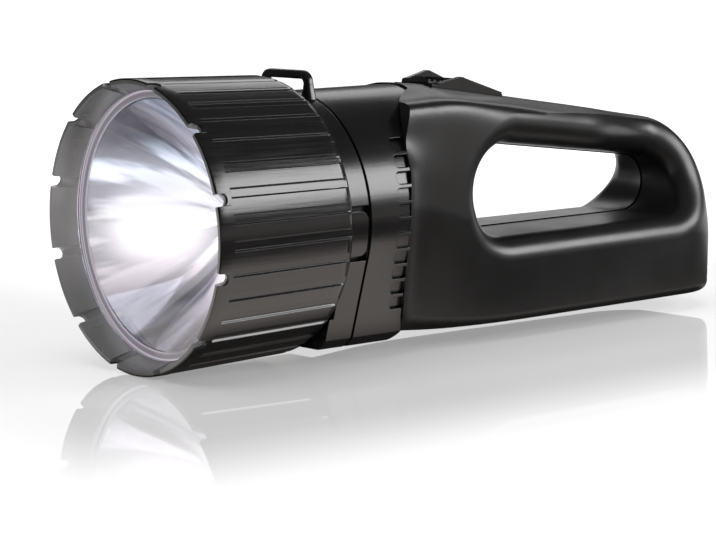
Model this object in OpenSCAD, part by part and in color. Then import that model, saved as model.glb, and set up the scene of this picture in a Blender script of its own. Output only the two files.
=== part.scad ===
// Handheld searchlight: pull-off lamp head, battery body with a foot, D-shaped moulded handle.
// Lengths in millimetres, angles in degrees. The beam leaves towards -Y and +Z is up.
// Inside the modules y counts back from the front rim and z from the lamp axis; place() moves
// the whole to its frame, the origin under the middle of the lamp.

/* [Lamp head] */
// How much the barrel widens towards the rim, in radius
barrel_flare = 1.7; // [1.2:0.1:2.6]
// Wall of the rim at its front edge
rim_wall = 2.2; // [1.8:0.1:2.6]
// Length of the barrel
barrel_len = 62.6; // [61:0.2:66]
// Step of the rear shoulder, in radius
shoulder_step = 4.3; // [3.6:0.1:5]
// Wall of the skirt that runs over the neck
skirt_wall = 3; // [2.6:0.1:3.6]
// Length of the rounded rear shoulder
shoulder_len = 5.6; // [4:0.2:7]
// Number of notches in the rim
notch_count = 12; // [6:1:18]
// Width of a notch
notch_w = 4.5; // [3:0.1:6]
// Depth of a notch
notch_depth = 4; // [3.2:0.1:6]
// Number of grooves between the ribs
groove_count = 36; // [20:1:40]
// Width of a groove
groove_w = 3.3; // [2:0.1:4]
// Depth of a groove
groove_depth = 0.9; // [0.4:0.1:1.3]
// Distance from the rim to the start of the grooves
groove_start = 6.5; // [5:0.1:9]
// Distance from the rim to the lens
lens_depth = 10.2; // [9:0.1:11]
// Thickness of the lens
lens_t = 2.6; // [2:0.1:3.2]
// Step from the rim's wall in to the lens edge
lens_inset = 2.1; // [1.8:0.1:2.6]
// Thickness of the lens seal
seal_t = 0.8; // [0.5:0.1:1.2]
// Width of the reflector's front lip
bowl_lip = 3.8; // [3:0.1:5]
// Wall of the reflector
bowl_wall = 1.6; // [1.2:0.1:2]
// Radius of the hole in the reflector's floor
bowl_hole_r = 9; // [6:0.5:11]
// Thickness of the light board
board_t = 1.6; // [1:0.1:2]
// Radius of the light board
board_r = 14; // [12:0.5:18]
// Radius of the light's dome
dome_r = 3; // [2:0.1:4]
// Thickness of the heat sink's flange
sink_t = 1.5; // [1:0.1:2]
// Radius of the heat sink's hub
hub_r = 12; // [9:0.5:13]
// Thickness of the plate that closes the head
plate_t = 2.4; // [2:0.1:3]
// Thickness of the gasket behind the plate
gasket_t = 0.4; // [0.3:0.1:0.8]

/* [Battery body] */
// Wall of the round body outside the cell bay
body_wall = 4.15; // [3.8:0.05:5]
// Diameter of a cell
cell_d = 33.8; // [32:0.1:33.8]
// Length of a cell over its button
cell_len = 61.5; // [59:0.5:61.5]
// Distance between cell centres
cell_pitch = 34.2; // [33.9:0.1:34.2]
// Play between the cells and the bay
bay_clear = 0.52; // [0.4:0.02:0.6]
// Open gap between the head and the collar
head_gap = 0.9; // [0.6:0.1:1.4]
// Length of the collar's band
collar_len = 10.9; // [9:0.1:13]
// Parting line between the collar and the front housing
parting = 0.2; // [0.1:0.05:0.4]
// Length of the front housing
housing_len = 22.4; // [18:0.1:24]
// Length of the hood that runs over the handle shells
hood_len = 25.5; // [22:0.5:27]
// How far the parting to the shells bows forward at its middle
parting_bow = 3; // [2:0.1:3.4]
// Play between the neck and the barrel's skirt
neck_clear = 0.4; // [0.3:0.05:0.6]
// Distance from the axis down to the foot
foot_drop = 48; // [47.4:0.2:51]
// Lean of the foot's sides
foot_lean = 18; // [14:1:22]
// Height of the bevel along the foot's lower edges
foot_bevel = 3.7; // [2:0.1:5]
// How far the foot reaches in front of the collar's band
foot_lead = 1.9; // [1:0.1:2.4]
// Number of pockets on each side
pocket_count = 11; // [5:1:11]
// Distance between pockets
pocket_pitch = 5.9; // [5:0.1:6]
// Height of a pocket
pocket_w = 4.7; // [3:0.1:4.8]
// Depth of a pocket
pocket_depth = 1.4; // [1:0.1:2.2]
// Length of a pocket
pocket_len = 7; // [4:0.2:8]
// Height of the strap eye above the axis
eye_top = 53.8; // [52:0.2:57]
// Half width of the strap eye
eye_half = 14.6; // [12:0.2:17]
// Thickness of the strap eye's bar
eye_bar = 3.3; // [2.4:0.1:4]

/* [Latch tabs] */
// Height of a tab
tab_h = 16.4; // [12:0.2:18]
// Height of a tab's middle above the axis
tab_z = -4.3; // [-6:0.1:0]
// Reach of a tab behind the barrel
tab_reach = 9.8; // [7:0.2:10]
// Thickness of a tab
tab_t = 1.7; // [1.4:0.1:2]
// How far a tab is pressed in
tab_travel = 1.3; // [0.8:0.1:1.4]
// Gap between a tab and its window, above and below
tab_gap = 2.1; // [1:0.1:3]
// Play between a tab and the barrel's slot
tab_clear = 0.35; // [0.25:0.05:0.5]

/* [Handle] */
// Distance from the rim to the rear end of the handle
handle_end = 286; // [280:1:300]
// Distance from the axis down to the handle's base
base_drop = 47.2; // [46.4:0.2:49]
// Height of the handle's top at its front
handle_top = 46.2; // [45.4:0.2:48]
// Where the top starts to fall
fall_start = 128; // [124:1:134]
// Slope of the top
fall_deg = 9; // [8:0.25:10]
// Half width of the handle body
handle_half = 37.5; // [36.8:0.1:40]
// Extra half width where the handle meets the housing
flare = 5; // [3:0.25:6]
// Loss of half width per millimetre of length
taper = 0.034; // [0.02:0.002:0.04]
// Where the rounded rear end starts
tail_start = 258; // [254:1:262]
// Radius of the base's rear corner
heel_r = 8; // [5:0.5:10]
// Front centre of the finger opening, along the lamp
grip_front_y = 155.5; // [154:0.5:160]
// Radius of the opening's front end
grip_front_r = 17.8; // [16:0.2:18.6]
// Rear centre of the finger opening, along the lamp
grip_rear_y = 249; // [240:0.5:250]
// Radius of the opening's rear end
grip_rear_r = 11.9; // [11:0.1:13]
// Height of the opening's floor
grip_floor = -13.7; // [-14.2:0.1:-12]
// Radius of the opening's rolled edges
grip_edge_r = 8.5; // [5:0.5:9]
// Draft of the opening's walls
grip_draft = 2.5; // [0.5:0.25:4]
// Wall left round the handle's hollows
wall = 2.8; // [2.2:0.1:3]

/* [Switch] */
// Where the switch guard's fins start
switch_y = 138; // [137:0.5:140]
// Length of a fin
fin_len = 33.4; // [28:0.2:36]
// Height of the left fin
fin_h = 4.7; // [3.5:0.1:7]
// How much taller the right fin is
fin_more = 1.9; // [0:0.1:2.4]
// Thickness of a fin
fin_t = 2.2; // [1.6:0.1:2.6]
// Half width of the sliding pad
pad_half = 7.5; // [6:0.1:8]
// Length of the sliding pad
pad_len = 23; // [18:0.5:24]
// Travel of the slider
slide_travel = 6; // [4:0.25:6.5]
// Play round the slider
slide_clear = 0.4; // [0.3:0.05:0.6]

/* [Screws] */
// Shank radius of the shell screws
screw_r = 1.4; // [1:0.1:1.6]
// Head radius of the screws
screw_head_r = 2.7; // [2.2:0.1:3]

/* [Hidden] */
$fn = 96;
e = 0.01;

// Radii, from the cells outwards
bay_r = cell_pitch / sqrt(2) + cell_d / 2 + bay_clear;
body_r = bay_r + body_wall;
neck_r = body_r - 1.15;
skirt_bore = neck_r + neck_clear;
barrel_end_r = skirt_bore + skirt_wall;
barrel_rear_r = barrel_end_r + shoulder_step;
rim_r = barrel_rear_r + barrel_flare;
lens_r = rim_r - rim_wall - lens_inset;
mouth_r = lens_r - bowl_lip;

// Head, front to back
lens_bore = lens_r + 0.2;
lip_r = lens_r - 0.5;
seal_y = lens_depth + lens_t;
bowl_y = seal_y + seal_t;
ledge_y = bowl_y + bowl_wall + 0.2;
plate_y = barrel_len - 10;
sink_y = plate_y - sink_t;
board_y = sink_y - board_t;
bowl_floor = board_y - 0.2 - bowl_wall;
bowl_depth = (bowl_floor - bowl_y) / (1 - pow(bowl_hole_r / mouth_r, 2));
plate_end = plate_y + plate_t;
neck_y = plate_end + gasket_t + 0.1;
shoulder_y = barrel_len - shoulder_len;
barrel_lean = atan((rim_r - barrel_rear_r) / shoulder_y);

// Body
collar_y = barrel_len + head_gap;
collar_end = collar_y + collar_len;
housing_y = collar_end + parting;
handle_y = housing_y + housing_len;
hood_end = handle_y + hood_len;
cell_y = collar_y;
cell_end = cell_y + cell_len;
foot_edge_z = -foot_drop + foot_bevel;
foot_edge_x = (body_r + sin(foot_lean) * foot_edge_z) / cos(foot_lean);
foot_screw = [foot_edge_x - 8.7, -foot_drop + 7.5];
head_screw_r = body_r - 7.75;

// Parting between the housing and the shells: a bow in side view, a tongue on top in plan
bow_z = -6;
bow_r = 140;
bow_low_r = 200;
hood_half = 36;
hood_tip = 13;
hood_y = hood_end - 2;

// Latch tabs: the floor under a tab leaves its travel and play free
tab_r = skirt_bore - 0.4;
tab_floor_r = tab_r - tab_travel - 0.4;
tab_root_y = barrel_len - 4.7;
tab_end = barrel_len + tab_reach;

// Handle
tip_y = tail_start + (handle_end - tail_start) / 0.99;
tail_z = -25;
fall = tan(fall_deg);
bay_end = cell_end + 8.5;
grip_front_z = grip_floor + grip_front_r;
grip_rear_z = grip_floor + grip_rear_r;
grip_run = norm([grip_rear_y - grip_front_y, grip_rear_z - grip_front_z]);
grip_aim = atan2(grip_rear_z - grip_front_z, grip_rear_y - grip_front_y);
grip_up = grip_aim + acos((grip_front_r - grip_rear_r) / grip_run);
hollow_y = bay_end + 16.5;
hollow_end = tail_start + 2;
hollow_top = grip_floor - wall - 0.7;
board_z = -base_drop + 13.2;
driver_y = hollow_y + 10;
driver_len = 48;
eye_y = collar_end - eye_bar / 2 - 0.6;

// Switch frame: s runs back along the sloping top, n stands on it
switch_z = top_z(switch_y);
pad_s = -2.5;
step_s = 9;
plate_n = 0.3;
plate_half = pad_half + slide_clear + fin_t + 1;
stem_s = 7;
stem_len = 6;
plate_s = pad_s - 1;
unit_s = stem_s - 2;
unit_len = 22;
unit_n = -6;
unit_h = 8;
unit_floor = switch_point(unit_s + unit_len, unit_n - unit_h)[1];
lead_end = switch_point(unit_s, unit_n - 5) - [0.3, 0];
lead_x = 3;
lead_z = board_z + 8;
rail_y = mix(grip_front_y, grip_rear_y, 0.72);
rail_z = (top_line(rail_y) + grip_floor + 2 * mix(grip_front_r, grip_rear_r, 0.72)) / 2 + 0.5;
spots = [[hollow_y - 10, -base_drop + 9.2], [tail_start + 11, -base_drop + 11.2],
  [tail_start + 13, grip_rear_z + 3.8], [rail_y, rail_z], [fall_start - 1, handle_top - 5.9]];
cell_spots = [for (i = [-1, 1], k = [-1, 1]) [i * cell_pitch / 2, k * cell_pitch / 2]];

function switch_point(s, n) = [switch_y + s * cos(fall_deg) + n * sin(fall_deg),
  switch_z - s * sin(fall_deg) + n * cos(fall_deg)];
function clamp01(t) = max(0, min(1, t));
function mix(a, b, t) = a + (b - a) * t;
function ease(a, b, y) = let (t = clamp01((y - a) / (b - a))) t * t * (3 - 2 * t);
function ramp(y, d) = let (u = y - fall_start + d) u <= 0 ? 0 : u < 2 * d ? u * u / (4 * d) : u - d;
function tail(y, k) = y <= tail_start ? 1 : pow(1 - pow((y - tail_start) / (tip_y - tail_start), k), 1 / k);
function top_line(y) = handle_top - fall * ramp(y, 9) - 0.5 * (1 - ease(handle_y, handle_y + 24, y));
function top_z(y) = tail_z + (top_line(y) - tail_z) * tail(y, 2.5);
function heel(y) = let (u = min(heel_r, y - handle_end + heel_r)) u <= 0 ? 0 : heel_r - sqrt(heel_r * heel_r - u * u);
function bot_z(y) = -base_drop + 2.2 * pow(1 - clamp01((y - handle_y) / 33), 2) + heel(y);
function half_w(y, f = 1) = (handle_half + f * flare * exp((handle_y - y) / 7) - taper * (y - handle_y)) * tail(y, 2);
function flared(y, z) = half_w(y, 1 - ease(14, 30, z));
function wide_z(y) = mix(bot_z(y), top_z(y), mix(0.52, 0.355, ease(handle_y, 175, y)));
function bulge(y) = 1 / mix(mix(1 / 16, 1 / 6.1, ease(122, 208, y)), 1 / 1.9, ease(205, 252, y));
function crown(y) = mix(4.6, 3.4, ease(fall_start, fall_start + 45, y)) * (1 - ease(205, 252, y));
function lean(y) = mix(0.128, 0.03, ease(handle_y, 170, y));
function low_half(y) = half_w(y) - lean(y) * (wide_z(y) - bot_z(y));
function low_r(y) = min(mix(8, 4, ease(handle_y, 150, y)), 0.4 * low_half(y));

// Height of the handle's upper side at a fraction u of its half width: shoulders and a crown
function over(y, u) = let (c = crown(y), n = bulge(y), zw = wide_z(y))
  zw + (top_z(y) - c - zw) * pow(1 - pow(u, n), 1 / n) + c * (1 - ease(0.13, 0.72, u));
function seek(y, z, a, b, k) = let (m = (a + b) / 2)
  k == 0 ? m : over(y, m) > z ? seek(y, z, m, b, k - 1) : seek(y, z, a, m, k - 1);

// Half section of the handle at y, bottom middle to top middle, as [x, z]
function section(y) = let (w = half_w(y, 0), zw = wide_z(y), zt = top_z(y) - crown(y), zb = bot_z(y),
    wb = low_half(y), r = low_r(y), b = 2 / bulge(y), turn = acos(pow(0.72, 1 / b)))
  concat([[0, zb]],
    [for (t = [0 : 22.5 : 90]) [wb - r + r * sin(t), zb + r - r * cos(t)]],
    [for (i = [0 : 9]) let (t = turn * i / 9, z = zw + (zt - zw) * pow(sin(t), b)) [flared(y, z) * pow(cos(t), b), z]],
    [for (i = [7 : -1 : 0]) [w * i * 0.09, over(y, i * 0.09)]]);

// Half width of the handle's side at a point of the side view
function side_x(y, z) = let (zw = wide_z(y), zt = top_z(y) - crown(y), n = bulge(y),
    u = z <= zw ? 1 : pow(max(0, 1 - pow(min(1, (z - zw) / (zt - zw)), n)), 1 / n))
  z <= zw ? half_w(y) - lean(y) * (zw - z) : flared(y, z) * (u >= 0.72 ? u : seek(y, z, 0, 0.72, 12));

// Points after p on the arc from p to q that rises by h over its chord
function bowed(p, q, h, n) = let (u = (q - p) / norm(q - p), c = norm(q - p), r = c * c / (8 * h) + h / 2,
    m = (p + q) / 2 + (r - h) * [u[1], -u[0]], a = atan2(p[1] - m[1], p[0] - m[0]), t = 2 * asin(c / (2 * r)))
  [for (i = [1 : n]) m + r * [cos(a - t * i / n), sin(a - t * i / n)]];

stations = concat([for (i = [-1 : 6]) handle_y + 4 * i],
  [for (i = [1 : 10]) mix(handle_y + 24, tail_start, i / 10)],
  [for (a = [11, 22, 33, 43, 53, 62, 70, 76]) tail_start + (tip_y - tail_start) * sin(a)], [handle_end]);

// Side outline of the finger opening as [y, z, angle of its outward normal]
opening = concat(
  [for (i = [0 : 22]) let (a = mix(grip_up, 270, i / 22))
    [grip_front_y + grip_front_r * cos(a), grip_front_z + grip_front_r * sin(a), a]],
  [for (i = [1 : 7]) [mix(grip_front_y, grip_rear_y, i / 8), grip_floor, 270]],
  [for (i = [0 : 18]) let (a = mix(-90, grip_up, i / 18))
    [grip_rear_y + grip_rear_r * cos(a), grip_rear_z + grip_rear_r * sin(a), a]],
  [for (i = [1 : 7]) let (t = i / 8)
    [mix(grip_rear_y + grip_rear_r * cos(grip_up), grip_front_y + grip_front_r * cos(grip_up), t),
     mix(grip_rear_z + grip_rear_r * sin(grip_up), grip_front_z + grip_front_r * sin(grip_up), t), grip_up]]);

// Rolled edge at one outline point: [x, d] pairs from the middle plane outwards
function off(p, d) = side_x(p[0] + d * cos(p[2]), p[1] + d * sin(p[2]));
function roll(p) = let (r = grip_edge_r, d0 = tan(grip_draft * max(0.4, cos(p[2]))) * (off(p, r) - r),
    m = (off(p, d0 + 1.6 * r) - off(p, d0 + 0.4 * r)) / (1.2 * r), q = sqrt(1 + m * m),
    cx = off(p, d0 + r) - r * q, stop = 90 - atan(m))
  concat([[-0.5, 0]], [for (i = [0 : 5]) let (f = stop * i / 5) [cx + r * sin(f), d0 + r - r * cos(f)]],
    [[cx + (r + 5) * sin(stop), d0 + r - (r + 5) * cos(stop)], [70, d0 + r - (r + 5) * cos(stop)]]);

module place() {
  translate([0, -handle_end / 2, rim_r]) children();
}

// Turned solid from [radius, y] points
module turned(points) {
  rotate([-90, 0, 0]) rotate_extrude() polygon(points);
}

module rod(r, y0, y1, x = 0, z = 0) {
  translate([x, y0, z]) rotate([-90, 0, 0]) cylinder(r = r, h = y1 - y0);
}

module tube(r0, r1, y0, y1) {
  difference() {
    rod(r1, y0, y1);
    rod(r0, y0 - 1, y1 + 1);
  }
}

// Block from one corner to the other
module block(a, b) {
  translate(a) cube(b - a);
}

// Flat shape in x and z drawn out along y
module along_y(y0, y1) {
  translate([0, y1, 0]) rotate([90, 0, 0]) linear_extrude(y1 - y0) children();
}

// Flat shape in y and z drawn out along x
module along_x(x0, x1) {
  translate([x0, 0, 0]) rotate([90, 0, 90]) linear_extrude(x1 - x0) children();
}

module switch_frame() {
  translate([0, switch_y, switch_z]) rotate([-fall_deg, 0, 0]) children();
}

// Section of the round body with its foot, drawn in by a margin
module foot_section(m = 0) {
  n = [cos(foot_lean), -sin(foot_lean)];
  flank = [(body_r - m - 0.05) * n, [foot_edge_x, foot_edge_z] - m * n, [foot_edge_x - 4.5 - m / 2, -foot_drop + m]];
  circle(r = body_r - m);
  polygon(concat(flank, [for (i = [2 : -1 : 0]) [-flank[i][0], flank[i][1]]]));
}

// Side view of the parting to the shells, moved back by d and filled as far as the distance "far"
module parting_side(far, d) {
  y0 = handle_y - parting_bow + d;
  polygon(concat([[far, 80], [far, -80]],
    [for (a = [-18 : 2 : -2]) [y0 + bow_low_r * (1 - cos(a)), bow_z + bow_low_r * sin(a)]],
    [for (a = [0 : 2 : 36]) [y0 + bow_r * (1 - cos(a)), bow_z + bow_r * sin(a)]]));
}

// Tongue of the hood seen from above, moved back by d
module hood_tongue(d) {
  flank = concat([[hood_half, handle_y + 1]], bowed([hood_half, handle_y + 1], [hood_tip, hood_y], 2.1, 8));
  tip = bowed([-hood_tip, hood_y], [hood_tip, hood_y], 2, 12);
  translate([0, d, 0]) linear_extrude(80) polygon(concat([[hood_half, 60]], flank, [for (i = [10 : -1 : 0]) tip[i]],
    [for (i = [8 : -1 : 0]) [-flank[i][0], flank[i][1]]], [[-hood_half, 60]]));
}

module head_barrel() {
  color("#1b1b1d") difference() {
    turned(concat([[rim_r - rim_wall + 0.3, 0], [rim_r - 0.6, 0], [rim_r, 0.6]],
      [for (a = [0 : 15 : 90]) [mix(barrel_end_r, barrel_rear_r, cos(a)), shoulder_y + shoulder_len * sin(a)]],
      [[skirt_bore, barrel_len], [skirt_bore, plate_y], [head_screw_r - 4, plate_y], [head_screw_r - 4, plate_y - 5],
       [lens_bore - 0.6, plate_y - 5], [lens_bore - 0.6, ledge_y + 4.5], [lens_bore - 2.4, ledge_y + 2.4],
       [lens_bore - 2.4, ledge_y], [lens_bore, ledge_y], [lens_bore, lens_depth - 0.1],
       [lip_r, lens_depth - 0.1], [lip_r, lens_depth - 0.7], [rim_r - rim_wall, 0.4]]));
    for (i = [0 : notch_count - 1]) rotate([0, (i + 0.5) * 360 / notch_count, 0]) {
      block([rim_r - 6, -1, -notch_w / 2], [rim_r + 2, notch_depth - notch_w / 2, notch_w / 2]);
      translate([rim_r - 6, notch_depth - notch_w / 2, 0]) rotate([0, 90, 0]) cylinder(d = notch_w, h = 8);
    }
    for (i = [0 : groove_count - 1]) rotate([0, (i + 0.28) * 360 / groove_count, 0])
      translate([rim_r - groove_depth, 0, 0]) rotate([0, 0, barrel_lean])
        block([0, groove_start, -groove_w / 2], [6, barrel_len, groove_w / 2]);
    for (s = [-1, 1]) intersection() {
      tube(tab_r - tab_travel, tab_r + tab_t + tab_clear, tab_root_y - tab_clear, barrel_len + 1);
      block([min(0, s * 60), 0, tab_z - tab_h / 2 - tab_clear], [max(0, s * 60), 99, tab_z + tab_h / 2 + tab_clear]);
    }
    head_screw_spots() rod(1.3, plate_y - 7, plate_y + 1);
  }
}

module head_screw_spots() {
  for (a = [0 : 90 : 270]) rotate([0, a + 45, 0]) translate([head_screw_r, 0, 0]) children();
}

module front_lens() {
  color("#dfe6ea") turned([[0, lens_depth], [lens_r - 0.5, lens_depth], [lens_r, lens_depth + 0.5],
    [lens_r, seal_y], [0, seal_y]]);
}

module lens_seal() {
  color("#333333") tube(mouth_r + 0.7, lens_r, seal_y, bowl_y);
}

module reflector() {
  inner = [for (i = [0 : 16]) let (r = mix(mouth_r, bowl_hole_r, i / 16))
    [r, bowl_y + bowl_depth * (1 - pow(r / mouth_r, 2))]];
  outer = [for (i = [16 : -1 : 0]) [inner[i][0] + 0.4, inner[i][1] + bowl_wall]];
  color("#d8d8dc") turned(concat(inner, outer, [[lens_r - 0.1, bowl_y + bowl_wall], [lens_r - 0.1, bowl_y]]));
}

module led_board() {
  color("#e8e8e4") rod(board_r, board_y, sink_y);
}

module led_emitter() {
  color("#fff6c8") {
    block([-3.5, board_y - 1, -3.5], [3.5, board_y, 3.5]);
    intersection() {
      translate([0, board_y - 1, 0]) sphere(r = dome_r);
      block([-9, board_y - 9, -9], [9, board_y - 0.5, 9]);
    }
  }
}

module heat_sink() {
  color("#b8bcc0") difference() {
    union() {
      rod(hub_r + 8, sink_y, plate_y);
      rod(hub_r, plate_y - e, plate_end + 5);
    }
    for (i = [-2 : 2]) block([i * hub_r / 3 - 0.8, plate_end + 1, -99], [i * hub_r / 3 + 0.8, 99, 99]);
  }
}

module head_plate() {
  color("#2a2a2c") difference() {
    rod(skirt_bore - 0.15, plate_y, plate_end);
    rod(hub_r + 0.2, 0, 99);
    head_screw_spots() rod(1.4, plate_y - 1, plate_end + 1);
  }
}

module head_gasket() {
  color("#3a3a3a") tube(bay_r + 0.4, neck_r - 0.2, plate_end, plate_end + gasket_t);
}

module head_contacts() {
  color("#c9a24a") {
    for (p = cell_spots) {
      rod(5.5, plate_end, plate_end + 1, p[0], p[1]);
      rod(3.5, plate_end + 1 - e, cell_y - 0.1, p[0], p[1]);
    }
    block([-cell_pitch / 2, plate_end, -cell_pitch / 2 - 3], [cell_pitch / 2, plate_end + 0.8, -cell_pitch / 2 + 3]);
  }
}

module head_screws() {
  color("#9a9da0") head_screw_spots() {
    rod(1.2, plate_y - 6, plate_end);
    rod(2.4, plate_end, plate_end + 1.6);
  }
}

// Tab of the side s, 1 left and -1 right
module latch_tab(s) {
  z0 = tab_z - tab_h / 2;
  z1 = tab_z + tab_h / 2;
  color("#1b1b1d") intersection() {
    tube(tab_r, tab_r + tab_t, tab_root_y, tab_end);
    along_x(min(0, s * 60), max(0, s * 60)) {
      polygon([[tab_root_y, z0], [tab_end - 3, z0], [tab_end, z0 + 3], [tab_end, z1 - 3], [tab_end - 3, z1],
        [tab_root_y, z1]]);
      translate([tab_end - 3, z0 + 3]) circle(r = 3);
      translate([tab_end - 3, z1 - 3]) circle(r = 3);
    }
  }
}

module latch_tab_left() {
  latch_tab(1);
}

module latch_tab_right() {
  latch_tab(-1);
}

module collar() {
  color("#1e1e20") difference() {
    union() {
      along_y(collar_y, collar_end - 0.9) foot_section();
      along_y(collar_y, collar_end) foot_section(1);
      rod(neck_r, neck_y, collar_y + 1);
      intersection() {
        along_y(collar_y - foot_lead, collar_y + 1) foot_section();
        block([-60, 0, -60], [60, 99, -25]);
        tube(barrel_end_r + 3.2, 90, 0, 99);
      }
    }
    rod(bay_r, 0, 199);
    for (s = [-1, 1]) {
      intersection() {
        tube(tab_floor_r, 70, neck_y - 1, collar_end - 0.1);
        block([min(0, s * 60), 0, tab_z - tab_h / 2 - tab_gap], [max(0, s * 60), 199, tab_z + tab_h / 2 + tab_gap]);
      }
      rod(screw_r + 0.2, 0, 199, s * foot_screw[0], foot_screw[1]);
      rod(screw_head_r + 0.3, 0, collar_y + 3.5, s * foot_screw[0], foot_screw[1]);
    }
  }
}

module strap_loop() {
  b = eye_bar;
  color("#1b1b1d") difference() {
    along_y(eye_y - b / 2, eye_y + b / 2) difference() {
      polygon([[-eye_half, 38], [-eye_half, eye_top - 2.6], [-eye_half + 3.3, eye_top], [eye_half - 3.3, eye_top],
        [eye_half, eye_top - 2.6], [eye_half, 38]]);
      polygon([[b - eye_half, 30], [b - eye_half, eye_top - b - 1.6], [b + 2.2 - eye_half, eye_top - b],
        [eye_half - b - 2.2, eye_top - b], [eye_half - b, eye_top - b - 1.6], [eye_half - b, 30]]);
    }
    rod(body_r + 0.02, 0, 199);
  }
}

// Side view of one pocket, its front corners rounded
module pocket_side() {
  r = 1.8;
  h = pocket_w / 2;
  y0 = handle_y - parting_bow - pocket_len;
  translate([y0 + r, -h]) square([pocket_len + 12, pocket_w]);
  translate([y0, r - h]) square([pocket_len, pocket_w - 2 * r]);
  for (s = [-1, 1]) translate([y0 + r, s * (h - r)]) circle(r = r);
}

module front_housing() {
  color("#1e1e20") difference() {
    union() {
      along_y(housing_y, handle_y + 4) foot_section();
      rod(body_r, handle_y - 8, hood_end + 1);
    }
    difference() {
      along_x(-70, 70) parting_side(199, 0);
      hood_tongue(0);
    }
    rod(bay_r, 0, 199);
    difference() {
      for (i = [0 : pocket_count - 1]) along_x(-70, 70)
        translate([bow_r * (1 - cos(asin(((i - 5) * pocket_pitch - 3.3 - bow_z) / bow_r))), (i - 5) * pocket_pitch - 3.3])
          pocket_side();
      along_y(0, 199) foot_section(pocket_depth);
    }
    for (s = [-1, 1]) rod(screw_r + 0.2, 0, 199, s * foot_screw[0], foot_screw[1]);
    difference() {
      block([-60, handle_y - 3, -foot_drop - 1], [60, handle_y + 9, -foot_drop + 4]);
      translate([-70, handle_y - 3, -foot_drop + 4]) rotate([0, 90, 0]) cylinder(r = 4, h = 140);
    }
  }
}

// Solid half of the handle, x from 0 up
module half_handle() {
  m = len(section(handle_y));
  n = len(stations);
  polyhedron([for (y = stations) for (p = section(y)) [p[0], y, p[1]]],
    concat([[for (k = [m - 1 : -1 : 0]) k]], [[for (k = [0 : m - 1]) (n - 1) * m + k]],
      [for (i = [0 : n - 2]) for (k = [0 : m - 1]) let (k2 = (k + 1) % m) each
        [[i * m + k, i * m + k2, (i + 1) * m + k2], [i * m + k, (i + 1) * m + k2, (i + 1) * m + k]]]));
}

// Half of the finger opening with its rolled edge
module half_opening() {
  rings = [for (p = opening) roll(p)];
  m = len(opening);
  n = len(rings[0]);
  polyhedron([for (k = [0 : n - 1]) for (j = [0 : m - 1]) let (p = opening[j], q = rings[j][k])
      [q[0], p[0] + q[1] * cos(p[2]), p[1] + q[1] * sin(p[2])]],
    concat([[for (j = [0 : m - 1]) j]], [[for (j = [m - 1 : -1 : 0]) (n - 1) * m + j]],
      [for (k = [0 : n - 2]) for (j = [0 : m - 1]) let (j2 = (j + 1) % m) each
        [[k * m + j, (k + 1) * m + j2, k * m + j2], [k * m + j, (k + 1) * m + j, (k + 1) * m + j2]]]));
}

// What both shells leave free: bay, hood, hollows, ways for the leads, switch and screws
module shell_hollows() {
  h = cell_pitch / 2;
  c = cell_d / 2 + bay_clear;
  along_y(handle_y - 6, bay_end) {
    square([2 * (h + c), 2 * h], center = true);
    square([2 * h, 2 * (h + c)], center = true);
    for (p = cell_spots) translate(p) circle(r = c);
  }
  along_x(-70, 70) parting_side(20, 0.15);
  difference() {
    hood_tongue(0.15);
    rod(bay_r - 0.15, 0, 199);
  }
  block([-27, hollow_y, board_z], [27, hollow_end, hollow_top]);
  for (g = [[hollow_y, driver_y + 4], [driver_y + 8, driver_y + driver_len - 8],
      [driver_y + driver_len - 4, hollow_end]])
    block([-27, g[0], -base_drop + wall], [27, g[1], board_z + e]);
  rod(lead_x + 2, bay_end - 1, switch_y + 3, 0, lead_end[1]);
  rod(lead_x + 2, bay_end - 1, hollow_y + 1, 0, lead_z);
  block([-7.2, switch_y + 1, unit_floor - 0.5], [7.2, switch_y + unit_s + unit_len + 3, switch_z - 2]);
  switch_frame() block([-plate_half - 0.2, plate_s - 0.2, -1.6], [plate_half + 0.2, fin_len + 0.6, 20]);
  for (s = [-1, 1]) rod(screw_r + 0.05, 0, handle_y + 11.4, s * foot_screw[0], foot_screw[1]);
}

// Half of the handle with its opening, joined into one mesh before anything is bored into it
module half_body() {
  resize([0, 0, 0]) difference() {
    half_handle();
    half_opening();
  }
}

module left_shell() {
  color("#1c1c1e") difference() {
    half_body();
    shell_hollows();
    for (p = spots) translate([-1, p[0], p[1]]) rotate([0, 90, 0]) cylinder(r = screw_r + 0.05, h = 11.4);
  }
}

module right_shell() {
  color("#1c1c1e") difference() {
    mirror([1, 0, 0]) half_body();
    shell_hollows();
    for (p = spots) translate([1, p[0], p[1]]) rotate([0, -90, 0]) {
      cylinder(r = screw_r + 0.2, h = 20);
      translate([0, 0, 9]) cylinder(r = screw_head_r + 0.4, h = 60);
    }
  }
}

// Side view of a fin of height h that starts with an upright edge of height f
module fin_side(h, f) {
  polygon([[0, 0], [0, plate_n + f], [fin_len * 0.3, h - 0.4], [fin_len * 0.33, h], [fin_len * 0.37, h],
    [fin_len * 0.4, h - 0.3], [fin_len, plate_n + 0.7], [fin_len, 0]]);
}

module switch_guard() {
  x0 = plate_half - fin_t;
  color("#171718") switch_frame() {
    difference() {
      block([-plate_half, plate_s, -1.5], [plate_half, fin_len + 0.4, plate_n]);
      block([-3.6, stem_s - slide_clear, -9], [3.6, stem_s + stem_len + slide_travel + slide_clear, 9]);
    }
    along_x(x0, x0 + fin_t) fin_side(fin_h, 0.7);
    along_x(-x0 - fin_t, -x0) fin_side(fin_h + fin_more, 1.6);
    for (s = [-1, 1]) block([s * 5.5 - 1, unit_s, unit_n], [s * 5.5 + 1, unit_s + unit_len, -1.5 + e]);
  }
}

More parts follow.
